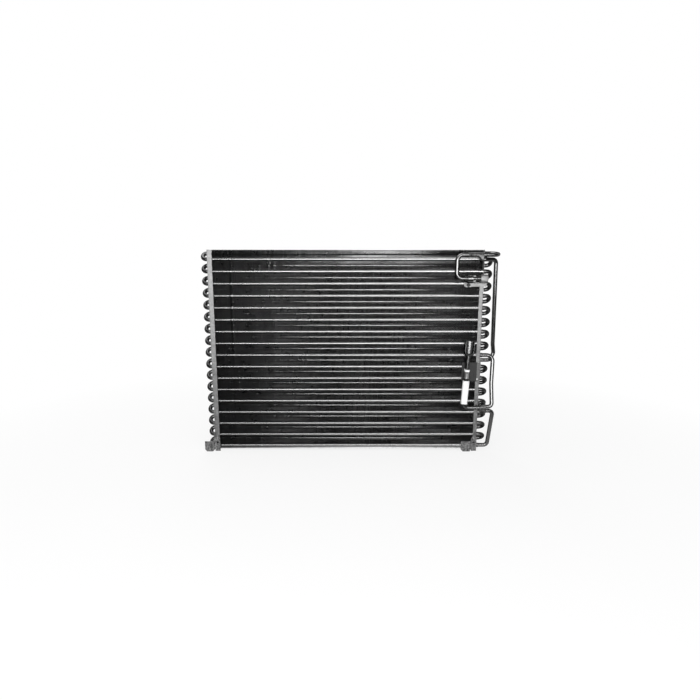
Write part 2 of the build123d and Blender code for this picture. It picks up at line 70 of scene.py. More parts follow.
class Ends(Enum):
    """What a loft does at its first and last ring."""

    CAPPED = "capped"
    OPEN = "open"
    JOINED = "joined"


def axis_frame(origin: Vector, axis: Vector) -> Matrix:
    """Frame whose Z is the axis and whose X lies as near the part's Y as it can.

    Args:
        origin: Where the frame stands.
        axis: Direction of its Z.

    Returns:
        The frame as a matrix.
    """
    up = axis.normalized()
    side = Vector((0, 1, 0)) - up * up.y
    side = side.normalized() if side.length > 1e-3 else Vector((1, 0, 0))
    place = Matrix((side, up.cross(side), up)).transposed().to_4x4()
    place.translation = origin
    return place


def ring(place: Matrix, distance: float, radius: Callable[[float], float], sides: int) -> list[Vector]:
    """Ring of points round an axis.

    Args:
        place: Frame of the axis.
        distance: How far along the axis the ring lies.
        radius: Radius at each angle.
        sides: Number of points.

    Returns:
        The points.
    """
    angles = [2 * math.pi * i / sides for i in range(sides)]
    return [place @ Vector((radius(a) * math.cos(a), radius(a) * math.sin(a), distance)) for a in angles]


def rounded_path(corners: Sequence[Vector], radii: Sequence[float], step: float = 9.0) -> list[Vector]:
    """Path through the corners with each one rounded by an arc.

    Args:
        corners: First point, corners and last point.
        radii: Radius at each corner between the two ends.
        step: Most degrees from one point of an arc to the next.

    Returns:
        The points of the path.
    """
    path = [Vector(corners[0])]
    for before, corner, after, radius in zip(corners, corners[1:], corners[2:], radii):
        run_in, run_out = (corner - before).normalized(), (after - corner).normalized()
        turn = run_in.angle(run_out)
        inward, along = (run_out - run_in).normalized(), (run_in + run_out).normalized()
        centre = corner + inward * (radius / math.cos(turn / 2))
        steps = max(2, math.ceil(math.degrees(turn) / step))
        for i in range(steps + 1):
            angle = turn * (i / steps - 0.5)
            path.append(centre + (along * math.sin(angle) - inward * math.cos(angle)) * radius)
    path.append(Vector(corners[-1]))
    return path


class Draft:
    """Mesh being drawn in millimetres: points, faces and the ways to add closed shapes to them."""

    def __init__(self) -> None:
        """Start with no points and no faces."""
        self.points: list[Vector] = []
        self.faces: list[tuple[int, ...]] = []

    def loft(self, rings: Sequence[Sequence[Vector]], ends: Ends = Ends.CAPPED) -> None:
        """Join rings of points into a skin.

        Args:
            rings: Rings with the same number of points each.
            ends: Whether the two ends are capped, left open or joined to each other.
        """
        first, count = len(self.points), len(rings[0])
        for points in rings:
            self.points.extend(points)
        spans = len(rings) - (ends is not Ends.JOINED)
        for row in range(spans):
            low, high = first + row * count, first + (row + 1) % len(rings) * count
            for i in range(count):
                j = (i + 1) % count
                self.faces.append((low + i, low + j, high + j, high + i))
        if ends is Ends.CAPPED:
            last = first + (len(rings) - 1) * count
            self.faces.append(tuple(range(first + count - 1, first - 1, -1)))
            self.faces.append(tuple(range(last, last + count)))

    def turn(self, place: Matrix, profile: Sequence[tuple[float, float]], sides: int = 32,
             ends: Ends = Ends.CAPPED) -> None:
        """Add a turned shape.

        Args:
            place: Frame of its axis.
            profile: Distance along the axis and radius of each ring.
            sides: Number of points round it.
            ends: How it is closed; joined makes a sleeve with a bore.
        """
        self.loft([ring(place, d, lambda a, r=r: r, sides) for d, r in profile], ends)

    def sweep(self, path: Sequence[Vector], radii: Sequence[float] | float, sides: int = 24) -> None:
        """Add a round tube along a path.

        Args:
            path: Points of its centre line.
            radii: One radius, or one for each point.
            sides: Number of points round it.
        """
        values = [radii] * len(path) if isinstance(radii, float) else list(radii)
        runs = [(b - a).normalized() for a, b in zip(path, path[1:])]
        middle = [(a + b).normalized() for a, b in zip(runs, runs[1:])]
        tangents = [runs[0], *middle, runs[-1]]
        side = axis_frame(path[0], tangents[0]).to_3x3() @ Vector((1, 0, 0))
        rings = []
        for point, tangent, radius in zip(path, tangents, values):
            side = (side - tangent * side.dot(tangent)).normalized()
            across = Matrix((side, tangent.cross(side), tangent)).transposed().to_4x4()
            across.translation = point
            rings.append(ring(across, 0.0, lambda a, r=radius: r, sides))
        self.loft(rings)

    def block(self, low: Sequence[float], high: Sequence[float], cut: float = 0.4,
              place: Matrix | None = None) -> None:
        """Add a box with all its edges cut back.

        Args:
            low: Lowest corner.
            high: Highest corner.
            cut: How far the edges are cut back.
            place: Frame that the corners are given in.
        """
        place = place or Matrix()

        def outline(inset: float, z: float) -> list[Vector]:
            """Rectangle with cut corners at a height."""
            x0, y0, x1, y1 = low[0] + inset, low[1] + inset, high[0] - inset, high[1] - inset
            flat = [(x0 + cut, y0), (x1 - cut, y0), (x1, y0 + cut), (x1, y1 - cut),
                    (x1 - cut, y1), (x0 + cut, y1), (x0, y1 - cut), (x0, y0 + cut)]
            return [place @ Vector((x, y, z)) for x, y in flat]

        self.loft([outline(cut, low[2]), outline(0, low[2] + cut), outline(0, high[2] - cut),
                   outline(cut, high[2])])

    def sector(self, place: Matrix, profile: Sequence[tuple[float, float, float]], middle: float,
               half_width: float, steps: int = 8) -> None:
        """Add a curved strip of a sleeve, cut to an even width.

        Args:
            place: Frame of the sleeve's axis.
            profile: Distance along the axis, inner radius and outer radius of each section.
            middle: Angle of the strip's middle.
            half_width: Half of its width across the axis.
            steps: Number of faces across it.
        """
        rings = []
        for distance, inner, outer in profile:
            section = []
            for radius, order in ((outer, range(steps + 1)), (inner, range(steps, -1, -1))):
                reach = math.asin(min(1.0, half_width / radius))
                for i in order:
                    angle = middle + reach * (2 * i / steps - 1)
                    section.append(place @ Vector((radius * math.cos(angle), radius * math.sin(angle), distance)))
            rings.append(section)
        self.loft(rings)

    def piece(self, name: str, finish: bpy.types.Material, slot: Slot, *nodes: str,
              crease: float = 35.0) -> bpy.types.Object:
        """Make the piece, dress it and tie it to the part.

        Args:
            name: Name of the piece.
            finish: Its material.
            slot: Material slot of the record that it stands for; not used.
            nodes: Nodes of the part that it replaces.
            crease: Edges sharper than this many degrees stay sharp.

        Returns:
            The new object.
        """
        mesh = bpy.data.meshes.new(name)
        mesh.from_pydata([point * MM for point in self.points], [], self.faces)
        mesh.update()
        mesh.shade_smooth()
        mesh.set_sharp_from_angle(angle=math.radians(crease))
        mesh.materials.append(finish)
        piece = bpy.data.objects.new(name, mesh)
        bpy.context.scene.collection.objects.link(piece)
        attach(piece, BODY)
        if nodes:
            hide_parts(*nodes)
        log.info("made %s with %d faces", name, len(mesh.polygons))
        return piece


class Nodes:
    """Short hand for wiring the nodes of a material or a group."""

    def __init__(self, tree: bpy.types.NodeTree) -> None:
        """Work on a node tree."""
        self.tree = tree

    def feed(self, socket: bpy.types.NodeSocket, value: object) -> None:
        """Link a socket to another, or set its value."""
        if isinstance(value, bpy.types.NodeSocket):
            self.tree.links.new(value, socket)
        else:
            socket.default_value = value

    def add(self, kind: str, inputs: dict[str, object] | None = None, **settings: object) -> bpy.types.Node:
        """Add a node.

        Args:
            kind: Blender's name of the node's type.
            inputs: Links or values of its inputs, by name.
            settings: Properties of the node.

        Returns:
            The node.
        """
        node = self.tree.nodes.new(kind)
        for name, value in settings.items():
            setattr(node, name, value)
        for name, value in (inputs or {}).items():
            self.feed(node.inputs[name], value)
        return node

    def group(self, tree: bpy.types.NodeTree, **inputs: object) -> bpy.types.Node:
        """Add a shared group with values for its inputs."""
        return self.add("ShaderNodeGroup", {k.capitalize(): v for k, v in inputs.items()}, node_tree=tree)

    def place(self) -> bpy.types.NodeSocket:
        """Coordinates in the frame of the part, in metres."""
        return self.add("ShaderNodeTexCoord").outputs["Object"]

    def maths(self, operation: str, *values: object) -> bpy.types.NodeSocket:
        """Output of a maths node on the values, kept between 0 and 1."""
        node = self.add("ShaderNodeMath", operation=operation, use_clamp=True)
        for socket, value in zip(node.inputs, values):
            self.feed(socket, value)
        return node.outputs[0]

    def span(self, value: object, low: float, high: float, start: float = 0.0, end: float = 1.0) -> bpy.types.NodeSocket:
        """Value mapped from low..high to start..end, and held at both ends."""
        inputs = {"Value": value, "From Min": low, "From Max": high, "To Min": start, "To Max": end}
        return self.add("ShaderNodeMapRange", inputs).outputs[0]

    def noise(self, place: object, scale: object, detail: float = 3.0) -> bpy.types.NodeSocket:
        """Noise at a place."""
        return self.add("ShaderNodeTexNoise", {"Vector": place, "Scale": scale, "Detail": detail}).outputs[0]

    def either(self, share: object, first: object, second: object) -> bpy.types.NodeSocket:
        """Number that goes from the first to the second as share goes from 0 to 1."""
        node = self.add("ShaderNodeMix", data_type="FLOAT")
        for index, value in ((0, share), (2, first), (3, second)):
            self.feed(node.inputs[index], value)
        return node.outputs[0]

    def blend(self, share: object, first: object, second: object) -> bpy.types.NodeSocket:
        """Colour that goes from the first to the second as share goes from 0 to 1."""
        node = self.add("ShaderNodeMix", data_type="RGBA")
        for index, value in ((0, share), (6, first), (7, second)):
            self.feed(node.inputs[index], value)
        return node.outputs[2]


def grey(level: float) -> tuple[float, float, float, float]:
    """Neutral colour of a linear level."""
    return (level, level, level, 1.0)


@dataclass
class Effects:
    """Shader groups that several finishes share, each built once."""

    wear: bpy.types.NodeTree = field(init=False)
    grain: bpy.types.NodeTree = field(init=False)
    dust: bpy.types.NodeTree = field(init=False)

    def __post_init__(self) -> None:
        """Build the three groups."""
        self.wear = self.edge_wear()
        self.grain = self.fine_grain()
        self.dust = self.settled_dust()

    def start(self, name: str, inputs: dict[str, float], outputs: Sequence[str]) -> tuple:
        """Make an empty shader group with named float sockets.

        Args:
            name: Name of the group.
            inputs: Names of the inputs with their default values.
            outputs: Names of the outputs.

        Returns:
            The group's tree, its wiring, the inputs' sockets and the outputs' sockets.
        """
        tree = bpy.data.node_groups.new(name, "ShaderNodeTree")
        for label, value in inputs.items():
            socket = tree.interface.new_socket(label, in_out="INPUT", socket_type="NodeSocketFloat")
            socket.default_value = value
        for label in outputs:
            tree.interface.new_socket(label, in_out="OUTPUT", socket_type="NodeSocketFloat")
        n = Nodes(tree)
        return tree, n, n.add("NodeGroupInput").outputs, n.add("NodeGroupOutput").inputs

    def edge_wear(self) -> bpy.types.NodeTree:
        """Group whose Mask is high where an edge is near, broken up by noise."""
        tree, n, given, made = self.start("edge_wear", {"Amount": 0.5, "Scale": 500.0}, ["Mask"])
        rounded = n.add("ShaderNodeBevel", {"Radius": 0.35 * MM}, samples=4).outputs[0]
        true = n.add("ShaderNodeNewGeometry").outputs["True Normal"]
        alike = n.add("ShaderNodeVectorMath", operation="DOT_PRODUCT")
        n.feed(alike.inputs[0], rounded)
        n.feed(alike.inputs[1], true)
        edge = n.span(alike.outputs["Value"], 0.97, 0.85)
        broken = n.span(n.noise(n.place(), given["Scale"]), 0.35, 0.6)
        n.feed(made["Mask"], n.maths("MULTIPLY", n.maths("MULTIPLY", edge, broken), given["Amount"]))
        return tree

    def fine_grain(self) -> bpy.types.NodeTree:
        """Group with a coarse Patch value and a fine Height value from noise."""
        tree, n, given, made = self.start("fine_grain", {"Scale": 800.0, "Patches": 60.0}, ["Patch", "Height"])
        n.feed(made["Patch"], n.span(n.noise(n.place(), given["Patches"]), 0.3, 0.7))
        n.feed(made["Height"], n.noise(n.place(), given["Scale"], 4.0))
        return tree

    def settled_dust(self) -> bpy.types.NodeTree:
        """Group whose Mask is higher on faces that look up, in soft patches."""
        tree, n, given, made = self.start("settled_dust", {"Amount": 0.3}, ["Mask"])
        normal = n.add("ShaderNodeNewGeometry").outputs["Normal"]
        up = n.span(n.add("ShaderNodeSeparateXYZ", {"Vector": normal}).outputs[2], 0.1, 0.9)
        patch = n.span(n.noise(n.place(), 90.0, 4.0), 0.3, 0.7)
        n.feed(made["Mask"], n.maths("MULTIPLY", n.maths("MULTIPLY", up, patch), given["Amount"]))
        return tree


@dataclass(frozen=True)
class Finish:
    """Finish with a dark and a light tone, broken up by patches, dust and worn edges."""

    name: str
    dark: float
    light: float
    roughness: tuple[float, float] = (0.35, 0.5)
    metallic: float = 0.0
    worn: float = 0.25
    wear: float = 0.0
    dust: float = 0.1
    bump: float = 0.1
    grain: float = 900.0
    patches: float = 60.0
    coat: float = 0.0
    shine: float = 0.5
    rim: float = 1.0

    def material(self, effects: Effects) -> bpy.types.Material:
        """Build the material.

        Args:
            effects: Shared shader groups.

        Returns:
            The material.
        """
        made = bpy.data.materials.new(self.name)
        made.use_nodes = True
        made.node_tree.nodes.clear()
        n = Nodes(made.node_tree)
        shader = n.add("ShaderNodeBsdfPrincipled")
        n.add("ShaderNodeOutputMaterial", {"Surface": shader.outputs[0]})
        shader.inputs["Metallic"].default_value = self.metallic
        shader.inputs["Coat Weight"].default_value = self.coat
        shader.inputs["Coat Roughness"].default_value = 0.15
        shader.inputs["Specular IOR Level"].default_value = self.shine
        shader.inputs["Specular Tint"].default_value = grey(self.rim)
        grain = n.group(effects.grain, scale=self.grain, patches=self.patches)
        colour = self.colour(n, grain.outputs["Patch"])
        if self.wear:
            worn = n.group(effects.wear, amount=self.wear).outputs["Mask"]
            colour = n.blend(worn, colour, grey(self.worn))
        if self.dust:
            dust = n.group(effects.dust, amount=self.dust).outputs["Mask"]
            colour = n.blend(dust, colour, grey(0.35))
        n.feed(shader.inputs["Base Color"], colour)
        n.feed(shader.inputs["Roughness"], n.span(grain.outputs["Patch"], 0.0, 1.0, *self.roughness))
        height = {"Strength": self.bump, "Distance": 0.2 * MM, "Height": grain.outputs["Height"]}
        n.feed(shader.inputs["Normal"], n.add("ShaderNodeBump", height).outputs[0])
        self.extra(n, shader)
        return made

    def colour(self, n: Nodes, patch: object) -> object:
        """Colour before wear and dust: the two tones in patches."""
        return n.blend(patch, grey(self.dark), grey(self.light))

    def extra(self, n: Nodes, shader: bpy.types.Node) -> None:
        """Wire what only this finish has; nothing for most."""


@dataclass(frozen=True)
class GalvanisedWithPaintedShade(Finish):
    """Zinc-coated sheet with spangle, with painted shade that makes it lighter at its top than at its foot."""

    # top and foot: heights in metres over which the painted shade runs from the light tone down to the dark one.
    top: float = 0.47
    foot: float = 0.0

    def colour(self, n: Nodes, patch: object) -> object:
        """Colour with the spangle and the patches over painted shade that falls from top to foot."""
        place = n.place()
        height = n.add("ShaderNodeSeparateXYZ", {"Vector": place}).outputs[2]
        cells = n.add("ShaderNodeTexVoronoi", {"Vector": place, "Scale": 260.0}).outputs["Color"]
        flake = n.add("ShaderNodeSeparateColor", {"Color": cells}).outputs[0]
        # Painted shade: the light tone's share grows with height from foot to top, under the spangle and patches.
        share = n.maths("MULTIPLY_ADD", flake, 0.25, n.span(height, self.foot, self.top, 0.0, 0.65))
        return n.blend(n.maths("MULTIPLY_ADD", patch, 0.3, share), grey(self.dark), grey(self.light))


@dataclass(frozen=True)
class CoreTube(Finish):
    """Black coated tube, rubbed through to dull metal between the end plates; the metal's tone is painted light,
    lighter towards the top and on the back row.
    """

    inner_roughness: float = 0.2
    # Tones of the bare metal at the bottom and at the top: painted light, lighter upwards, and lighter again on the
    # back row.
    front_painted_light_tones: tuple[float, float] = (0.3, 0.46)
    back_painted_light_tones: tuple[float, float] = (0.32, 0.55)
    half_span: float = 0.3232
    between_rows: float = 0.0155

    def extra(self, n: Nodes, shader: bpy.types.Node) -> None:
        """Set colour, metal and roughness by the place along the tube, with the metal's tone painted lighter towards
        the top and on the back row.
        """
        outer = shader.inputs["Roughness"].links[0].from_socket
        parts = n.add("ShaderNodeSeparateXYZ", {"Vector": n.place()}).outputs
        outside = n.span(n.maths("ABSOLUTE", parts[0]), self.half_span, self.half_span + MM)
        n.feed(shader.inputs["Roughness"], n.either(outside, self.inner_roughness, outer))
        coated = shader.inputs["Base Color"].links[0].from_socket
        # Painted light: the bare metal's tone rises with height and is higher on the back row, standing in for how
        # brightly the tubes are lit.
        tones = [n.span(parts[2], 0.0, 0.45, *tone) for tone in (self.front_painted_light_tones, self.back_painted_light_tones)]
        tone = n.either(n.span(parts[1], self.between_rows - MM, self.between_rows + MM), *tones)
        metal_with_painted_light = n.add("ShaderNodeCombineColor", {"Red": tone, "Green": tone, "Blue": tone}).outputs[0]
        n.feed(shader.inputs["Base Color"], n.blend(outside, metal_with_painted_light, coated))


@dataclass(frozen=True)
class KnockedFin(Finish):
    """Coated fin with bright flecks where it was knocked."""

    marks: tuple[tuple[float, float, float], ...] = (
        (-178, 436, 16), (-168, 300, 8), (-166, 262, 6), (-170, 226, 6), (272, 462, 18), (294, 455, 10),
    )
    fleck: float = 0.75
    bare: float = 0.5
    bare_roughness: float = 0.16
    bare_depth: tuple[float, float] = (9.0, 22.0)
    bare_top: float = 445.0

    def extra(self, n: Nodes, shader: bpy.types.Node) -> None:
        """Leave the metal bare deep between the rows, and add flecks near each mark on the front edges."""
        coated = shader.inputs["Base Color"].links[0].from_socket
        parts = n.add("ShaderNodeSeparateXYZ", {"Vector": n.place()}).outputs
        near = 0.0
        for x, z, reach in self.marks:
            centre = n.add("ShaderNodeCombineXYZ", {"X": x * MM, "Y": parts[1], "Z": z * MM}).outputs[0]
            gap = n.add("ShaderNodeVectorMath", operation="DISTANCE")
            n.feed(gap.inputs[0], n.place())
            n.feed(gap.inputs[1], centre)
            near = n.maths("MAXIMUM", near, n.span(gap.outputs["Value"], reach * MM, 0.3 * reach * MM))
        front = n.span(parts[1], 5.0 * MM, 4.0 * MM)
        flecks = n.span(n.noise(n.place(), 320.0, 1.0), 0.60, 0.66)
        mask = n.maths("MULTIPLY", n.maths("MULTIPLY", near, front), flecks)
        flecked = n.blend(mask, coated, grey(self.fleck))
        low, high = self.bare_depth
        deep = n.maths("MULTIPLY", n.span(parts[1], (low - 2) * MM, low * MM), n.span(parts[1], (high + 2) * MM, high * MM))
        deep = n.maths("MULTIPLY", deep, n.span(parts[2], (self.bare_top + 4) * MM, self.bare_top * MM))
        n.feed(shader.inputs["Base Color"], n.blend(deep, flecked, grey(self.bare)))
        n.feed(shader.inputs["Metallic"], deep)
        rough = shader.inputs["Roughness"].links[0].from_socket
        n.feed(shader.inputs["Roughness"], n.either(deep, rough, self.bare_roughness))


@dataclass(frozen=True)
class TabbedBracket(Finish):
    """Dull sheet with a paler tab over the end plate and painted highlights at its corners."""

    tab_x: float = 317.3
    tab: float = 0.11
    # Places and reaches of the highlights painted at the bracket's corners.
    painted_corner_highlights: tuple[tuple[float, float, float], ...] = ((321.0, 203.5, 2.6), (319.3, 161.0, 2.2))

    def colour(self, n: Nodes, patch: object) -> object:
        """Colour of the sheet, its tab and the highlights painted at its corners."""
        place = n.place()
        parts = n.add("ShaderNodeSeparateXYZ", {"Vector": place}).outputs
        sheet = n.blend(patch, grey(self.dark), grey(self.light))
        over = n.span(parts[0], self.tab_x * MM, (self.tab_x + 0.6) * MM)
        sheet = n.blend(over, sheet, n.blend(patch, grey(self.tab * 0.6), grey(self.tab * 1.3)))
        for x, z, reach in self.painted_corner_highlights:
            centre = n.add("ShaderNodeCombineXYZ", {"X": x * MM, "Y": parts[1], "Z": z * MM}).outputs[0]
            gap = n.add("ShaderNodeVectorMath", operation="DISTANCE")
            n.feed(gap.inputs[0], place)
            n.feed(gap.inputs[1], centre)
            # Painted highlight: a pale spot at each corner, fading out over its reach.
            sheet = n.blend(n.span(gap.outputs["Value"], reach * MM, 0.5 * reach * MM), sheet, grey(0.75))
        return sheet


class Look(Enum):
    """Finishes of the object."""

    FIN = KnockedFin("fin_black", 0.003, 0.009, (0.26, 0.34), dust=0.0, shine=0.25, bump=0.02)
    TUBE = CoreTube("core_tube", 0.10, 0.14, (0.2, 0.26), 1.0, dust=0.0, bump=0.03, rim=0.1)
    PIPE = Finish("pipe_black", 0.16, 0.22, (0.2, 0.26), 1.0, dust=0.0, bump=0.03, rim=0.1)
    PLATE = GalvanisedWithPaintedShade("galvanised_plate", 0.04, 0.36, (0.40, 0.55), 0.3, worn=0.5, wear=0.5, grain=1500.0)
    FOOT = Finish("galvanised_foot", 0.0, 0.27, (0.4, 0.6), 0.3, worn=0.02, wear=0.9, patches=230.0)
    ZINC = Finish("zinc_fastener", 0.14, 0.3, (0.3, 0.45), 0.5, worn=0.6, wear=0.5)
    FITTING = Finish("fitting_grey", 0.03, 0.16, (0.25, 0.4), 0.7, worn=0.4, wear=0.6, patches=200.0)
    BRIGHT = Finish("bright_metal", 0.2, 0.32, (0.2, 0.3), 0.9)
    CUP = Finish("cup_black", 0.14, 0.2, (0.2, 0.3), 1.0, worn=0.6, wear=0.6, dust=0.0, rim=0.1)
    PAPER = Finish("blank_paper", 0.70, 0.80, (0.7, 0.85), worn=0.5, dust=0.05, bump=0.3, grain=350.0)
    FERRULE = Finish("crimped_metal", 0.18, 0.36, (0.3, 0.45), 0.6)
    BAND = Finish("white_band", 0.75, 0.85, (0.35, 0.5), dust=0.02)
    BRACKET = TabbedBracket("bracket_grey", 0.006, 0.03, (0.45, 0.65), dust=0.0, patches=350.0)


@dataclass
class Palette:
    """Every finish as a material, made on first use."""

    effects: Effects
    made: dict[Look, bpy.types.Material] = field(default_factory=dict)

    def __getitem__(self, look: Look) -> bpy.types.Material:
        """Material of a finish."""
        if look not in self.made:
            self.made[look] = look.value.material(self.effects)
        return self.made[look]


@dataclass(frozen=True)
class Layout:
    """Places that the sub-assemblies share."""

    tube_radius: float = 4.7625
    pitch: float = 28.575
    row_spacing: float = 12.5
    rows: int = 17
    lowest_tube: float = -10.0
    front_y: float = 9.2525
    upper_circuit: int = 9
    stub_x: float = 331.0
    line_y: float = -10.5
    side_x: float = 354.82

    def front(self, x: float, index: int) -> Vector:
        """Point at x on the centre line of a front tube, counted down from the top."""
        return Vector((x, self.front_y, self.lowest_tube + (self.rows - 1 - index) * self.pitch))

    def back(self, x: float, index: int) -> Vector:
        """Point at x on the centre line of a back tube, half a pitch above its front one."""
        return self.front(x, index) + Vector((0, self.row_spacing, self.pitch / 2))

    def line(self, x: float, z: float) -> Vector:
        """Point in the plane of the lines that pass in front of the fins."""
        return Vector((x, self.line_y, z))


@dataclass(frozen=True)
class TubeBank:
    """Hairpins through the fins, and the return bends brazed to their right ends."""

    layout: Layout
    bend_x: float = -328.0
    return_run: float = 2.8
    bell_radius: float = 5.4
    bell_start: float = 325.9
    braze_radius: float = 5.0

    def bend_radius(self) -> float:
        """Radius of a bend between the two rows."""
        return math.hypot(self.layout.row_spacing, self.layout.pitch / 2) / 2

    def u_route(self, first: Vector, second: Vector, reach: float) -> list[Vector]:
        """Path from one point to another by way of a round bend.

        Args:
            first: Start.
            second: End, at the same X.
            reach: X of the bend's far side.

        Returns:
            The points of the path.
        """
        corners = [first, Vector((reach, *first[1:])), Vector((reach, *second[1:])), second]
        return rounded_path(corners, [self.bend_radius() - 0.01] * 2)

    def hairpin(self, index: int, finish: bpy.types.Material) -> None:
        """Build one hairpin with a bell at each end.

        Args:
            index: Row of its tubes, counted down from the top.
            finish: Its material.
        """
        at = self.layout
        route = self.u_route(at.back(at.stub_x, index), at.front(at.stub_x, index), self.bend_x - self.bend_radius())
        bell = [(at.stub_x, self.bell_radius), (self.bell_start + 1.2, self.bell_radius),
                (self.bell_start, at.tube_radius)]
        path, radii = [], []
        for x, radius in bell:
            path.append(at.back(x, index))
            radii.append(radius)
        path += route[1:-1]
        radii += [at.tube_radius] * (len(route) - 2)
        for x, radius in reversed(bell):
            path.append(at.front(x, index))
            radii.append(radius)
        draft = Draft()
        draft.sweep(path, radii)
        name = f"hairpin_{index + 1:02d}"
        draft.piece(f"smooth_{name}", finish, Slot.TUBES, name)

    def return_bend(self, index: int, finish: bpy.types.Material) -> None:
        """Build one return bend with its braze fillets.

        Args:
            index: Row of its front tube, counted down from the top.
            finish: Its material.
        """
        at = self.layout
        reach = at.stub_x + self.return_run + self.bend_radius()
        first, second = at.front(at.stub_x, index), at.back(at.stub_x, index + 1)
        draft = Draft()
        draft.sweep(self.u_route(first, second, reach), at.tube_radius)
        for end in (first, second):
            fillet = [(0.0, self.bell_radius - 0.1), (0.5, self.braze_radius), (1.1, at.tube_radius)]
            draft.turn(axis_frame(end, Vector((1, 0, 0))), fillet, 24)
        name = f"return_bend_{index + 1:02d}"
        draft.piece(f"smooth_{name}", finish, Slot.TUBES, name)

    def build(self, palette: Palette) -> None:
        """Build every tube of the bank."""
        finish = palette[Look.TUBE]
        for index in range(self.layout.rows):
            self.hairpin(index, finish)
            if index not in (self.layout.upper_circuit - 1, self.layout.rows - 1):
                self.return_bend(index, finish)
        log.info("tube bank done")


@dataclass(frozen=True)
class Dent:
    """Place where the front edges of the fins are bent over."""

    x: float
    z: float
    half_width: float
    half_height: float
    push: float


@dataclass(frozen=True)
class FinPack:
    """Thin upright fins, with bent edges where the front was knocked."""

    layout: Layout
    left: float = -313.0
    right: float = 322.3
    front: float = 3.0
    back: float = 28.005
    bottom: float = -17.2
    top: float = 468.685
    count: int = 304
    thickness: float = 0.14
    steps_up: int = 68
    packs: int = 4
    waver: float = 0.16
    hem: float = 2.2
    hem_from: float = 486.0
    hem_full: float = 430.0
    hem_top: float = 462.0
    lean: float = 1.75
    dents: tuple[Dent, ...] = (
        Dent(-178, 436, 12, 12, 3.0), Dent(-168, 300, 5, 6, 2.4), Dent(-166, 262, 4, 5, 2.4),
        Dent(-170, 226, 4, 5, 2.4), Dent(-272, 330, 3.5, 110, 2.2), Dent(272, 462, 9, 7, 2.6),
        Dent(294, 455, 5, 6, 2.4),
    )

    def shift(self, x: float, y: np.ndarray, z: np.ndarray, wander: np.ndarray, knock: float) -> np.ndarray:
        """How far each point of a fin is out of its plane.

        Args:
            x: Place of the fin.
            y: Y of its points.
            z: Z of its points.
            wander: Random waver of its front edge at each of its points.
            knock: How hard this fin was knocked, from -1 to 1.

        Returns:
            The shift of each point along X.
        """
        near_front = np.clip(1 - (y - self.front) / 7.0, 0, 1) ** 2
        moved = wander * near_front + self.lean * (y - self.front) / (self.back - self.front)
        for dent in self.dents:
            near = np.exp(-((x - dent.x) / dent.half_width) ** 2 - ((z - dent.z) / dent.half_height) ** 2)
            moved += dent.push * near * near_front * knock
        low = np.clip((self.hem_from - z) / (self.hem_from - self.hem_full), 0, 1)
        high = np.clip((z - self.hem_top) / (self.top - self.hem_top), 0, 1)
        moved -= self.hem * np.maximum(low, high) * np.clip((y - self.back + 3.0) / 3.0, 0, 1)
        return moved

    def build(self, palette: Palette) -> None:
        """Build the fins as a few meshes."""
        columns = np.array([self.front, self.front + 2.0, self.front + 7.0, self.back - 3.0, self.back])
        heights = np.linspace(self.bottom, self.top, self.steps_up + 1)
        y, z = (grid.ravel() for grid in np.meshgrid(columns, heights, indexing="ij"))
        tall, wide = len(heights), len(columns)
        side = len(y)
        quads = [(i * tall + j, (i + 1) * tall + j, (i + 1) * tall + j + 1, i * tall + j + 1)
                 for i in range(wide - 1) for j in range(tall - 1)]
        rim = [i * tall for i in range(wide)] + [(wide - 1) * tall + j for j in range(1, tall)]
        rim += [i * tall + tall - 1 for i in range(wide - 2, -1, -1)] + list(range(tall - 2, 0, -1))
        faces = [tuple(reversed(quad)) for quad in quads]
        faces += [tuple(corner + side for corner in quad) for quad in quads]
        faces += [(a, b, b + side, a + side) for a, b in zip(rim, rim[1:] + rim[:1])]
        faces = np.array(faces)
        rng = np.random.default_rng(7)
        places = np.linspace(self.left, self.right - self.thickness - self.lean, self.count)
        share = self.count // self.packs
        for pack in range(self.packs):
            points, all_faces = [], []
            for order, x in enumerate(places[pack * share:(pack + 1) * share]):
                knots = rng.normal(0.0, self.waver, 12)
                wander = np.interp(z, np.linspace(self.bottom, self.top, 12), knots)
                moved = self.shift(x, y, z, wander, rng.uniform(-1, 1))
                moved = np.clip(moved, self.left - x, self.right - self.thickness - x)
                for depth in (0.0, self.thickness):
                    points.append(np.column_stack((x + depth + moved, y, z)))
                all_faces.append(faces + order * 2 * side)
            draft = Draft()
            draft.points = [Vector(point) for point in np.concatenate(points).tolist()]
            draft.faces = np.concatenate(all_faces).tolist()
            draft.piece(f"fin_pack_{pack + 1}", palette[Look.FIN], Slot.FINS, "fins")
        log.info("fin pack done")


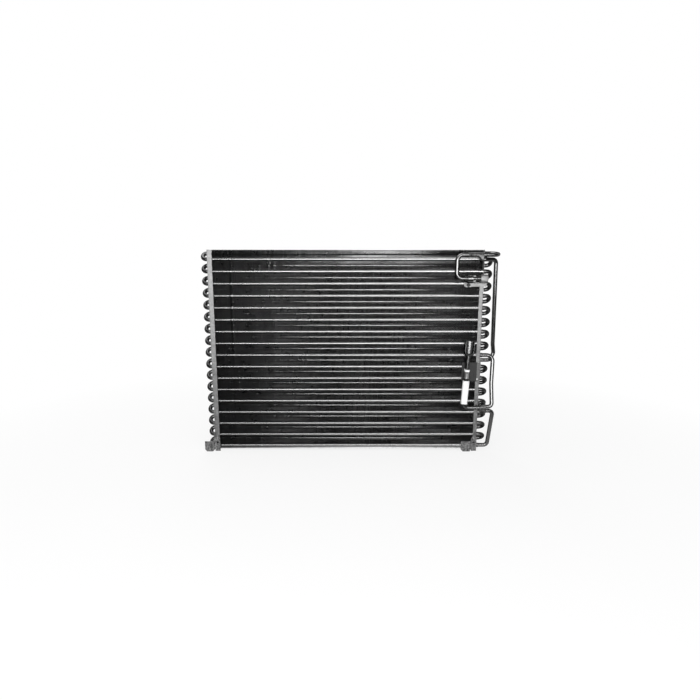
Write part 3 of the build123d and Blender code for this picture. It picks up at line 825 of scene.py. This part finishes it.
@dataclass(frozen=True)
class PipeWork:
    """The lines in front of the fins and beside the right end plate."""

    layout: Layout
    radius: float = 4.7625
    line_bend: float = 9.5
    riser_foot: tuple[float, float] = (286.2, 92.0)
    riser_top: tuple[float, float] = (293.2, 220.0)

    def routes(self) -> dict[str, tuple[list[Vector], list[float]]]:
        """Corners and bend radii of each pipe, by node."""
        at, bend = self.layout, self.line_bend
        back_top, back_mid = at.back(at.stub_x, 0), at.back(at.stub_x, at.upper_circuit)
        front_mid = at.front(at.stub_x, at.upper_circuit - 1)
        front_low = at.front(at.stub_x, at.rows - 1)
        return {
            "inlet_loop": (
                [at.line(276, 401.99), at.line(258.1, 401.99), at.line(258.1, 456.09), at.line(282.7, 456.09)],
                [13.0, 13.0],
            ),
            "upper_feed_pipe": (
                [at.line(317.7, 456.09), at.line(356.02, 456.09), Vector((356.02, *back_top[1:])), back_top],
                [15.6, 15.6],
            ),
            "lower_feed_pipe": (
                [at.line(317.7, 445.89), at.line(323.7, 445.89), Vector((350.52, -1.0, 445.89)),
                 Vector((359.12, 18.95, 244.31)), Vector((362.52, 21.75, 222.31)),
                 Vector((at.side_x, *back_mid[1:])), back_mid],
                [bend] * 5,
            ),
            "upper_outlet_pipe": (
                [front_mid, Vector((358.02, *front_mid[1:])), Vector((353.82, -1.0, 150.0)),
                 at.line(at.side_x, 94.6), at.line(340, 94.6)],
                [15.0, bend, bend],
            ),
            "lower_outlet_pipe": (
                [front_low, Vector((353.52, *front_low[1:])), at.line(357.32, 84.4), at.line(340, 84.4)],
                [bend, bend],
            ),
            "liquid_line": (
                [at.line(324, 92.0), at.line(*self.riser_foot), at.line(*self.riser_top)],
                [10.5],
            ),
        }

    def build(self, palette: Palette) -> None:
        """Build every pipe."""
        for node, (corners, radii) in self.routes().items():
            draft = Draft()
            draft.sweep(rounded_path(corners, radii), self.radius)
            draft.piece(f"smooth_{node}", palette[Look.PIPE], Slot.PIPES, node)
        log.info("pipe work done")

    def on_riser(self, distance: float) -> Matrix:
        """Frame on the riser, at a distance above the liquid line, with Z up the riser."""
        foot, top = self.layout.line(*self.riser_foot), self.layout.line(*self.riser_top)
        axis = (top - foot).normalized()
        return axis_frame(foot + axis * distance, axis)

    def riser_length(self) -> float:
        """Distance along the riser from the liquid line to the outlet fitting."""
        return (self.layout.line(*self.riser_top) - self.layout.line(*self.riser_foot)).length


@dataclass(frozen=True)
class JoinBlock:
    """Brazed block that spreads from one pipe to two, one above the other."""

    layout: Layout
    name: str
    left_x: float
    right_x: float
    left_radius: float
    edge: float
    left_z: float
    right_z: tuple[float, float]
    sleeve: float = 0.0

    def build(self, palette: Palette, look: Look, steps: int = 8) -> None:
        """Build the block.

        Args:
            palette: Materials.
            look: Its finish.
            steps: Number of sections between the two ends.
        """
        draft = Draft()
        origin = self.layout.line(self.left_x, 0.0)
        place = axis_frame(origin, Vector((1, 0, 0)))
        rings = []
        for step in range(steps + 1):
            share = step / steps
            eased = share * share * (3 - 2 * share)
            radius = self.left_radius + (self.edge - self.left_radius) * eased
            low, high = (self.left_z + (z - self.left_z) * eased for z in self.right_z)
            distance = share * (self.right_x - self.left_x)
            section = []
            for i in range(32):
                angle = 2 * math.pi * (i + 0.5) / 32
                middle = high if math.sin(angle) > 0 else low
                section.append(place @ Vector((radius * math.cos(angle), middle + radius * math.sin(angle), distance)))
            rings.append(section)
        draft.loft(rings)
        if self.sleeve:
            start = axis_frame(self.layout.line(self.left_x - self.sleeve, self.left_z), Vector((1, 0, 0)))
            r = self.left_radius
            profile = [(0, r - 0.5), (0.4, r), (self.sleeve * 0.45, r), (self.sleeve * 0.5, r - 0.25),
                       (self.sleeve * 0.55, r), (self.sleeve + 0.5, r)]
            draft.turn(start, profile)
        draft.piece(f"smooth_{self.name}", palette[look], Slot.FITTINGS, self.name)


@dataclass(frozen=True)
class InletFitting:
    """Collar, two-pronged cage, ringed pilot and union nut at the end of the inlet loop."""

    layout: Layout
    x: float = 276.0
    z: float = 401.99
    collar: float = 6.0
    collar_radius: float = 7.2
    cage: float = 19.0
    band: float = 13.0
    cage_radius: float = 8.9
    wall: float = 1.0
    pilot_radius: float = 5.5
    pilot: float = 12.0
    bead_offset: float = 2.5
    bead: float = 6.5
    bead_radius: float = 7.0
    prong_half: float = 6.0
    nut: float = 16.5
    nut_flats: float = 16.6
    bore: float = 6.0
    bore_depth: float = 12.0

    def build(self, palette: Palette) -> None:
        """Build the fitting and its nut."""
        place = axis_frame(self.layout.line(self.x, self.z), Vector((1, 0, 0)))
        r, body = self.collar_radius, Draft()
        body.turn(place, [(0, r - 0.6), (0.6, r), (2.4, r), (2.8, r - 0.7), (3.4, r - 0.7), (3.8, r),
                          (self.collar, r)])
        start, r = self.collar, self.cage_radius
        inner = r - self.wall
        body.turn(place, [(start, r - 0.8), (start + 0.8, r), (start + self.band, r), (start + self.band, inner),
                          (start + self.wall, inner), (start + self.wall, 2.0), (start, 2.0)], 40, Ends.JOINED)
        far = start + self.cage
        for side in (-1, 1):
            body.sector(place, [(start + self.band - 0.5, inner, r), (far - 1.2, inner, r),
                                (far, inner + 0.1, r - 0.5)], side * math.pi / 2, self.prong_half)
        p, end = self.pilot_radius, far + self.pilot
        bead = far + self.bead_offset
        body.turn(place, [
            (start, p), (bead, p), (bead + 0.5, self.bead_radius - 0.4), (bead + 0.9, self.bead_radius),
            (bead + 2.2, self.bead_radius), (bead + 2.5, self.bead_radius - 1.0), (bead + 3.9, self.bead_radius - 1.0),
            (bead + 4.2, self.bead_radius), (bead + self.bead - 0.5, self.bead_radius),
            (bead + self.bead, self.bead_radius - 0.6), (bead + self.bead, p), (end, p),
        ])
        body.piece("turned_inlet_fitting", palette[Look.CUP], Slot.FITTINGS, "inlet_fitting")
        self.build_nut(axis_frame(self.layout.line(self.x + end, self.z), Vector((1, 0, 0))), palette)

    def build_nut(self, place: Matrix, palette: Palette) -> None:
        """Build the union nut with chamfered corners and a threaded bore.

        Args:
            place: Frame at its left face.
            palette: Materials.
        """
        apothem = self.nut_flats / 2

        def hexagon(limit: float) -> Callable[[float], float]:
            """Radius round a hexagon whose corners are turned down to a limit."""
            def radius(angle: float) -> float:
                off = (angle + math.pi / 6) % (math.pi / 3) - math.pi / 6
                return min(apothem / math.cos(off), limit)
            return radius

        corner = apothem / math.cos(math.pi / 6)
        rings = [ring(place, 0, hexagon(apothem * 0.98), 48), ring(place, 1.1, hexagon(corner), 48),
                 ring(place, self.nut - 1.1, hexagon(corner), 48), ring(place, self.nut, hexagon(apothem * 0.98), 48)]
        floor = self.nut - self.bore_depth
        threads = int(self.bore_depth - 1)
        for turn in range(threads):
            depth = self.nut - 0.2 - turn
            rings.append(ring(place, depth, lambda a: self.bore + 0.35, 48))
            rings.append(ring(place, depth - 0.5, lambda a: self.bore, 48))
        rings += [ring(place, floor, lambda a: self.bore, 48), ring(place, floor, lambda a: 0.5, 48),
                  ring(place, 0, lambda a: 0.5, 48)]
        nut = Draft()
        nut.loft(rings, Ends.JOINED)
        nut.turn(place, [(0.05, 0.6), (floor - 0.05, 0.6)], 12)
        nut.piece("union_nut", palette[Look.ZINC], Slot.FITTINGS, "inlet_nut", crease=25.0)


@dataclass(frozen=True)
class OutletFitting:
    """Round-bottomed cup cut down to two prongs, on either side of the outlet's pilot."""

    pipes: PipeWork
    radius: float = 12.2
    wall: float = 1.0
    height: float = 34.0
    round: float = 7.0
    prong_half: float = 6.0
    pilot_radius: float = 7.94
    pilot_top: float = 36.0

    def build(self, palette: Palette) -> None:
        """Build the cup and the pilot."""
        place = self.pipes.on_riser(self.pipes.riser_length())
        cup, r = Draft(), self.radius
        steps = 8
        bowl = [(self.round * (1 - math.cos(math.pi / 2 * i / steps)),
                 r - self.round + self.round * math.sin(math.pi / 2 * i / steps)) for i in range(steps + 1)]
        bowl = [(d + 0.0, radius) for d, radius in bowl]
        cup.turn(place, [(0, 0.5), *bowl, (self.round, r - self.wall), (self.round, 0.5)], 48, Ends.JOINED)
        cup.turn(place, [(0.1, 0.6), (self.round - 0.1, 0.6)], 12)
        for side in (-1, 1):
            cup.sector(place, [(self.round - 0.6, r - self.wall, r), (self.height - 1.5, r - self.wall, r),
                               (self.height, r - self.wall + 0.1, r - 0.5)], side * math.pi / 2, self.prong_half)
        cup.piece("pronged_cup", palette[Look.CUP], Slot.CUP, "outlet_fitting")
        pilot, p = Draft(), self.pilot_radius
        pilot.turn(place, [(self.round, p), (self.round + 4, p), (self.round + 4.4, p - 0.5), (self.round + 5.4, p - 0.5),
                           (self.round + 5.8, p), (self.pilot_top - 0.8, p), (self.pilot_top, p - 0.8),
                           (self.pilot_top, p - 2.2), (self.pilot_top - 1.0, p - 2.6)], 48)
        pilot.piece("outlet_pilot", palette[Look.BRIGHT], Slot.CUP, "outlet_fitting")


@dataclass(frozen=True)
class RiserWraps:
    """Blank paper sleeve, crimped ferrule and band round the riser."""

    pipes: PipeWork
    label_start: float = 10.0
    label_length: float = 57.0
    label_half: float = 7.8
    label_depth: float = 5.5625
    paper: float = 0.5
    ferrule_start: float = 73.0
    ferrule_length: float = 15.5
    ferrule_radius: float = 5.3
    band_start: float = 89.5
    band_height: float = 5.0
    band_radius: float = 6.06
    tail_half: float = 4.5

    def label(self, palette: Palette) -> None:
        """Build the paper sleeve, slightly creased."""
        place = self.pipes.on_riser(self.label_start)
        rng = np.random.default_rng(3)
        rows, sides = 16, 40

        def section(share: float, inset: float, crease: np.ndarray) -> list[Vector]:
            """Ring of the sleeve at a share of its height, with its creases."""
            points = []
            for i in range(sides):
                angle = 2 * math.pi * i / sides
                depth, width = self.label_depth - inset, self.label_half - inset
                c, s = math.cos(angle), math.sin(angle)
                bow = 1 / (abs(c) ** 3.2 + abs(s) ** 3.2) ** (1 / 3.2)
                pull = 1 - crease[i]
                points.append(place @ Vector((depth * c * bow * pull, width * s * bow * pull,
                                              share * self.label_length)))
            return points

        creases = [np.convolve(rng.uniform(0, 0.05, sides + 2), [0.25, 0.5, 0.25], "valid")
                   for _ in range(rows + 1)]
        outer = [section(i / rows, 0.0, creases[i]) for i in range(rows + 1)]
        inner = [section(i / rows, self.paper, creases[i]) for i in range(rows, -1, -1)]
        draft = Draft()
        draft.loft(outer + inner, Ends.JOINED)
        draft.piece("paper_sleeve", palette[Look.PAPER], Slot.LABEL, "label_sleeve", crease=50.0)

    def metal(self, palette: Palette) -> None:
        """Build the ferrule and the band with its tail."""
        place, r = self.pipes.on_riser(self.ferrule_start), self.ferrule_radius
        profile = [(0, r - 0.4), (0.4, r)]
        for i in range(1, 4):
            middle = self.ferrule_length * i / 4
            profile += [(middle - 1.2, r), (middle - 0.5, r - 0.35), (middle + 0.5, r - 0.35), (middle + 1.2, r)]
        profile += [(self.ferrule_length - 0.4, r), (self.ferrule_length, r - 0.4)]
        draft = Draft()
        draft.turn(place, profile)
        draft.piece("crimped_ferrule", palette[Look.FERRULE], Slot.FERRULE, "ferrule")
        place, r = self.pipes.on_riser(self.band_start), self.band_radius
        band = Draft()
        band.turn(place, [(0, r - 0.3), (0.3, r), (self.band_height - 0.3, r), (self.band_height, r - 0.3)])
        band.block((4.8, -self.tail_half, 0), (10.5, self.tail_half, self.band_height), 0.3, place)
        band.piece("riser_band", palette[Look.BAND], Slot.CLIP, "riser_clip")

    def build(self, palette: Palette) -> None:
        """Build everything round the riser."""
        self.label(palette)
        self.metal(palette)


@dataclass(frozen=True)
class InletClamp:
    """Band round the inlet cage, with a tail screwed to the bracket."""

    layout: Layout
    left: float = 282.0
    width: float = 13.0
    z: float = 401.99
    bore: float = 9.0
    radius: float = 10.2
    low: float = 382.09
    sheet: float = 1.2
    screw_z: float = 387.29
    head_flats: float = 8.0
    head: float = 3.5
    tail: float = 3.5

    def build(self, palette: Palette) -> None:
        """Build the clamp and its screw."""
        place = axis_frame(self.layout.line(self.left, self.z), Vector((1, 0, 0)))
        band, r, b = Draft(), self.radius, self.bore
        band.turn(place, [(0, b), (0, r - 0.3), (0.3, r), (self.width - 0.3, r), (self.width, r - 0.3),
                          (self.width, b)], 48, Ends.JOINED)
        band.piece("clamp_band", palette[Look.PIPE], Slot.BRACKETS, "inlet_clamp")
        tail = Draft()
        tail.block((self.left, -self.sheet, self.low), (self.left + self.width, 0, self.z - 5.0), 0.3)
        tail.piece("clamp_tail", palette[Look.ZINC], Slot.BRACKETS, "inlet_clamp")
        middle = Vector((self.left + self.width / 2, -self.sheet, self.screw_z))
        seat, screw = axis_frame(middle, Vector((0, -1, 0))), Draft()
        apothem = self.head_flats / 2

        def hexagon(limit: float) -> Callable[[float], float]:
            """Radius round the head, turned down to a limit."""
            return lambda a: min(apothem / math.cos((a + math.pi / 6) % (math.pi / 3) - math.pi / 6), limit)

        screw.loft([ring(seat, 0, hexagon(apothem), 36), ring(seat, 0.5, hexagon(5.0), 36),
                    ring(seat, self.head - 0.6, hexagon(5.0), 36), ring(seat, self.head, hexagon(apothem - 0.2), 36)])
        screw.turn(seat, [(-self.tail, 2.1), (-self.tail + 0.3, 2.4), (0, 2.4)], 20)
        screw.piece("hexagon_screw", palette[Look.BRACKET], Slot.BRACKETS, "clamp_screw")


@dataclass(frozen=True)
class Sheets:
    """Folded and pressed sheets of the part that stay as they are, and the rivets in the feet."""

    rivet_x: float = 318.5
    rivet_z: float = 10.0
    head_radius: float = 3.0
    head: float = 1.4
    shank_radius: float = 1.6
    shank: float = 2.7
    soft_edge: float = 0.25
    kept: tuple[tuple[str, Look], ...] = (
        ("end_plate_left", Look.PLATE), ("end_plate_right", Look.PLATE), ("foot_left", Look.FOOT),
        ("foot_right", Look.FOOT), ("inlet_bracket", Look.ZINC), ("centre_bracket", Look.BRACKET),
    )

    def build(self, palette: Palette) -> None:
        """Dress the kept nodes and build the rivets."""
        for node, look in self.kept:
            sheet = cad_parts[node]
            for place in sheet.material_slots:
                place.material = palette[look]
            soft = sheet.modifiers.new("soft_edges", "BEVEL")
            soft.width = self.soft_edge * MM
            soft.segments = 2
            soft.limit_method = "ANGLE"
            soft.angle_limit = math.radians(50)
            log.info("dressed %s", node)
        rivets = Draft()
        for side in (-1, 1):
            seat = axis_frame(Vector((side * self.rivet_x, 0, self.rivet_z)), Vector((0, -1, 0)))
            r, h = self.head_radius, self.head
            dome = [(h * math.sin(t), r * math.cos(t)) for t in (0.0, 0.3, 0.6, 0.9, 1.2, 1.45)]
            rivets.turn(seat, [(-self.shank, self.shank_radius), (0, self.shank_radius), *dome], 24)
        rivets.piece("domed_rivets", palette[Look.ZINC], Slot.RIVETS, "foot_rivets")


def seen_rays(n: Nodes) -> bpy.types.NodeSocket:
    """Value of 1 for rays that show the background: from the camera, mirrored or let through."""
    rays = n.add("ShaderNodeLightPath").outputs
    shown = n.maths("MAXIMUM", rays["Is Glossy Ray"], rays["Is Transmission Ray"])
    return n.maths("MAXIMUM", shown, rays["Is Camera Ray"])


@dataclass(frozen=True)
class Lamp:
    """Soft rectangular studio lamp."""

    name: str
    place: tuple[float, float, float]
    aim: tuple[float, float, float]
    size: tuple[float, float]
    power: float

    def build(self) -> None:
        """Build the lamp."""
        data = bpy.data.lights.new(self.name, "AREA")
        data.shape = "RECTANGLE"
        data.size, data.size_y = self.size
        data.energy = self.power
        lamp = bpy.data.objects.new(self.name, data)
        lamp.location = self.place
        lamp.rotation_euler = (Vector(self.aim) - Vector(self.place)).to_track_quat("-Z", "Y").to_euler()
        bpy.context.scene.collection.objects.link(lamp)


@dataclass(frozen=True)
class Studio:
    """Pale floor and background, soft lamps and the camera. Sizes here are in metres."""

    floor_z: float = -0.0224
    floor_half: float = 8.0
    floor_level: float = 0.86
    floor_glow: tuple[float, float] = (0.8, 1.0)
    glow_reach: tuple[float, float] = (0.4, 1.2)
    back_level: float = 1.0
    around_level: float = 0.28
    room_level: float = 0.04
    lamps: tuple[Lamp, ...] = (
        Lamp("front_wide", (0.0, -1.40, 0.40), (0, 0, 0.28), (1.7, 0.6), 21.0),
        Lamp("overhead", (-0.3, -0.3, 1.9), (0, 0, 0.2), (1.6, 1.2), 16.0),
        Lamp("back", (-0.5, 1.9, 1.0), (0, 0, 0.2), (1.4, 1.0), 14.0),
    )
    camera_place: tuple[float, float, float] = (0.0018, -1.05375, 0.396)
    camera_down: float = 8.9
    focal_pixels: float = 443.0
    centre: tuple[float, float] = (346.5, 350.6)
    image: float = 700.0
    sensor: float = 36.0

    def floor(self) -> None:
        """Build the floor."""
        half, z = self.floor_half, self.floor_z
        mesh = bpy.data.meshes.new("studio_floor")
        mesh.from_pydata([(-half, -half, z), (half, -half, z), (half, half, z), (-half, half, z)], [], [(0, 1, 2, 3)])
        finish = bpy.data.materials.new("studio_floor")
        finish.use_nodes = True
        finish.node_tree.nodes.clear()
        n = Nodes(finish.node_tree)
        matt = n.add("ShaderNodeBsdfDiffuse", {"Color": grey(self.floor_level)}).outputs[0]
        place, mirrored = n.place(), n.add("ShaderNodeLightPath").outputs["Is Glossy Ray"]
        depth = n.add("ShaderNodeSeparateXYZ", {"Vector": place}).outputs[1]
        strength = n.either(mirrored, 1.0, n.span(depth, -0.3, 0.2, self.room_level, 1.0))
        glow = n.add("ShaderNodeEmission", {"Color": grey(1.0), "Strength": strength}).outputs[0]
        away = n.add("ShaderNodeVectorMath", operation="LENGTH")
        n.feed(away.inputs[0], place)
        share = n.maths("MULTIPLY", n.span(away.outputs["Value"], *self.glow_reach, *self.floor_glow), seen_rays(n))
        mixed = n.add("ShaderNodeMixShader", {"Fac": n.maths("MAXIMUM", share, mirrored)})
        n.feed(mixed.inputs[1], matt)
        n.feed(mixed.inputs[2], glow)
        n.add("ShaderNodeOutputMaterial", {"Surface": mixed.outputs[0]})
        mesh.materials.append(finish)
        floor = bpy.data.objects.new("studio_floor", mesh)
        bpy.context.scene.collection.objects.link(floor)

    def world(self) -> None:
        """Build the background: pale where it is seen or mirrored, dimmer as a light and on the camera's side."""
        world = bpy.data.worlds.new("studio_world")
        world.use_nodes = True
        world.node_tree.nodes.clear()
        n = Nodes(world.node_tree)
        direction = n.add("ShaderNodeTexCoord").outputs["Generated"]
        depth = n.add("ShaderNodeSeparateXYZ", {"Vector": direction}).outputs[1]
        plain = n.span(seen_rays(n), 0.0, 1.0, self.around_level, self.back_level)
        mirrored = n.span(depth, -0.2, 0.3, self.room_level, self.back_level)
        level = n.either(n.add("ShaderNodeLightPath").outputs["Is Glossy Ray"], plain, mirrored)
        back = n.add("ShaderNodeBackground", {"Color": grey(1.0), "Strength": level})
        n.add("ShaderNodeOutputWorld", {"Surface": back.outputs[0]})
        bpy.context.scene.world = world

    def camera(self) -> None:
        """Build the camera at the photo's angle."""
        data = bpy.data.cameras.new("camera")
        data.sensor_width = self.sensor
        data.lens = self.sensor * self.focal_pixels / self.image
        data.shift_x = (self.image / 2 - self.centre[0]) / self.image
        data.shift_y = (self.centre[1] - self.image / 2) / self.image
        data.clip_start = 0.01
        camera = bpy.data.objects.new("camera", data)
        camera.location = self.camera_place
        camera.rotation_euler = (math.radians(90 - self.camera_down), 0, 0)
        bpy.context.scene.collection.objects.link(camera)
        bpy.context.scene.camera = camera

    def build(self) -> None:
        """Build the studio."""
        self.floor()
        self.world()
        for lamp in self.lamps:
            lamp.build()
        self.camera()
        bpy.context.scene.view_settings.view_transform = "Standard"
        log.info("studio done")


def main() -> None:
    """Build the object, the studio and the camera."""
    logging.basicConfig(level=logging.INFO)
    palette, layout = Palette(Effects()), Layout()
    pipes = PipeWork(layout)
    TubeBank(layout).build(palette)
    FinPack(layout).build(palette)
    pipes.build(palette)
    JoinBlock(layout, "distributor", 302.7, 317.7, 5.6, 5.7625, 456.09, (445.89, 456.09), 20.0).build(
        palette, Look.FITTING)
    JoinBlock(layout, "outlet_tee", 324.0, 340.0, 5.7625, 5.7625, 92.0, (84.4, 94.6)).build(palette, Look.FITTING)
    InletFitting(layout).build(palette)
    InletClamp(layout).build(palette)
    OutletFitting(pipes).build(palette)
    RiserWraps(pipes).build(palette)
    Sheets().build(palette)
    Studio().build()


if __name__ == "__main__":
    main()
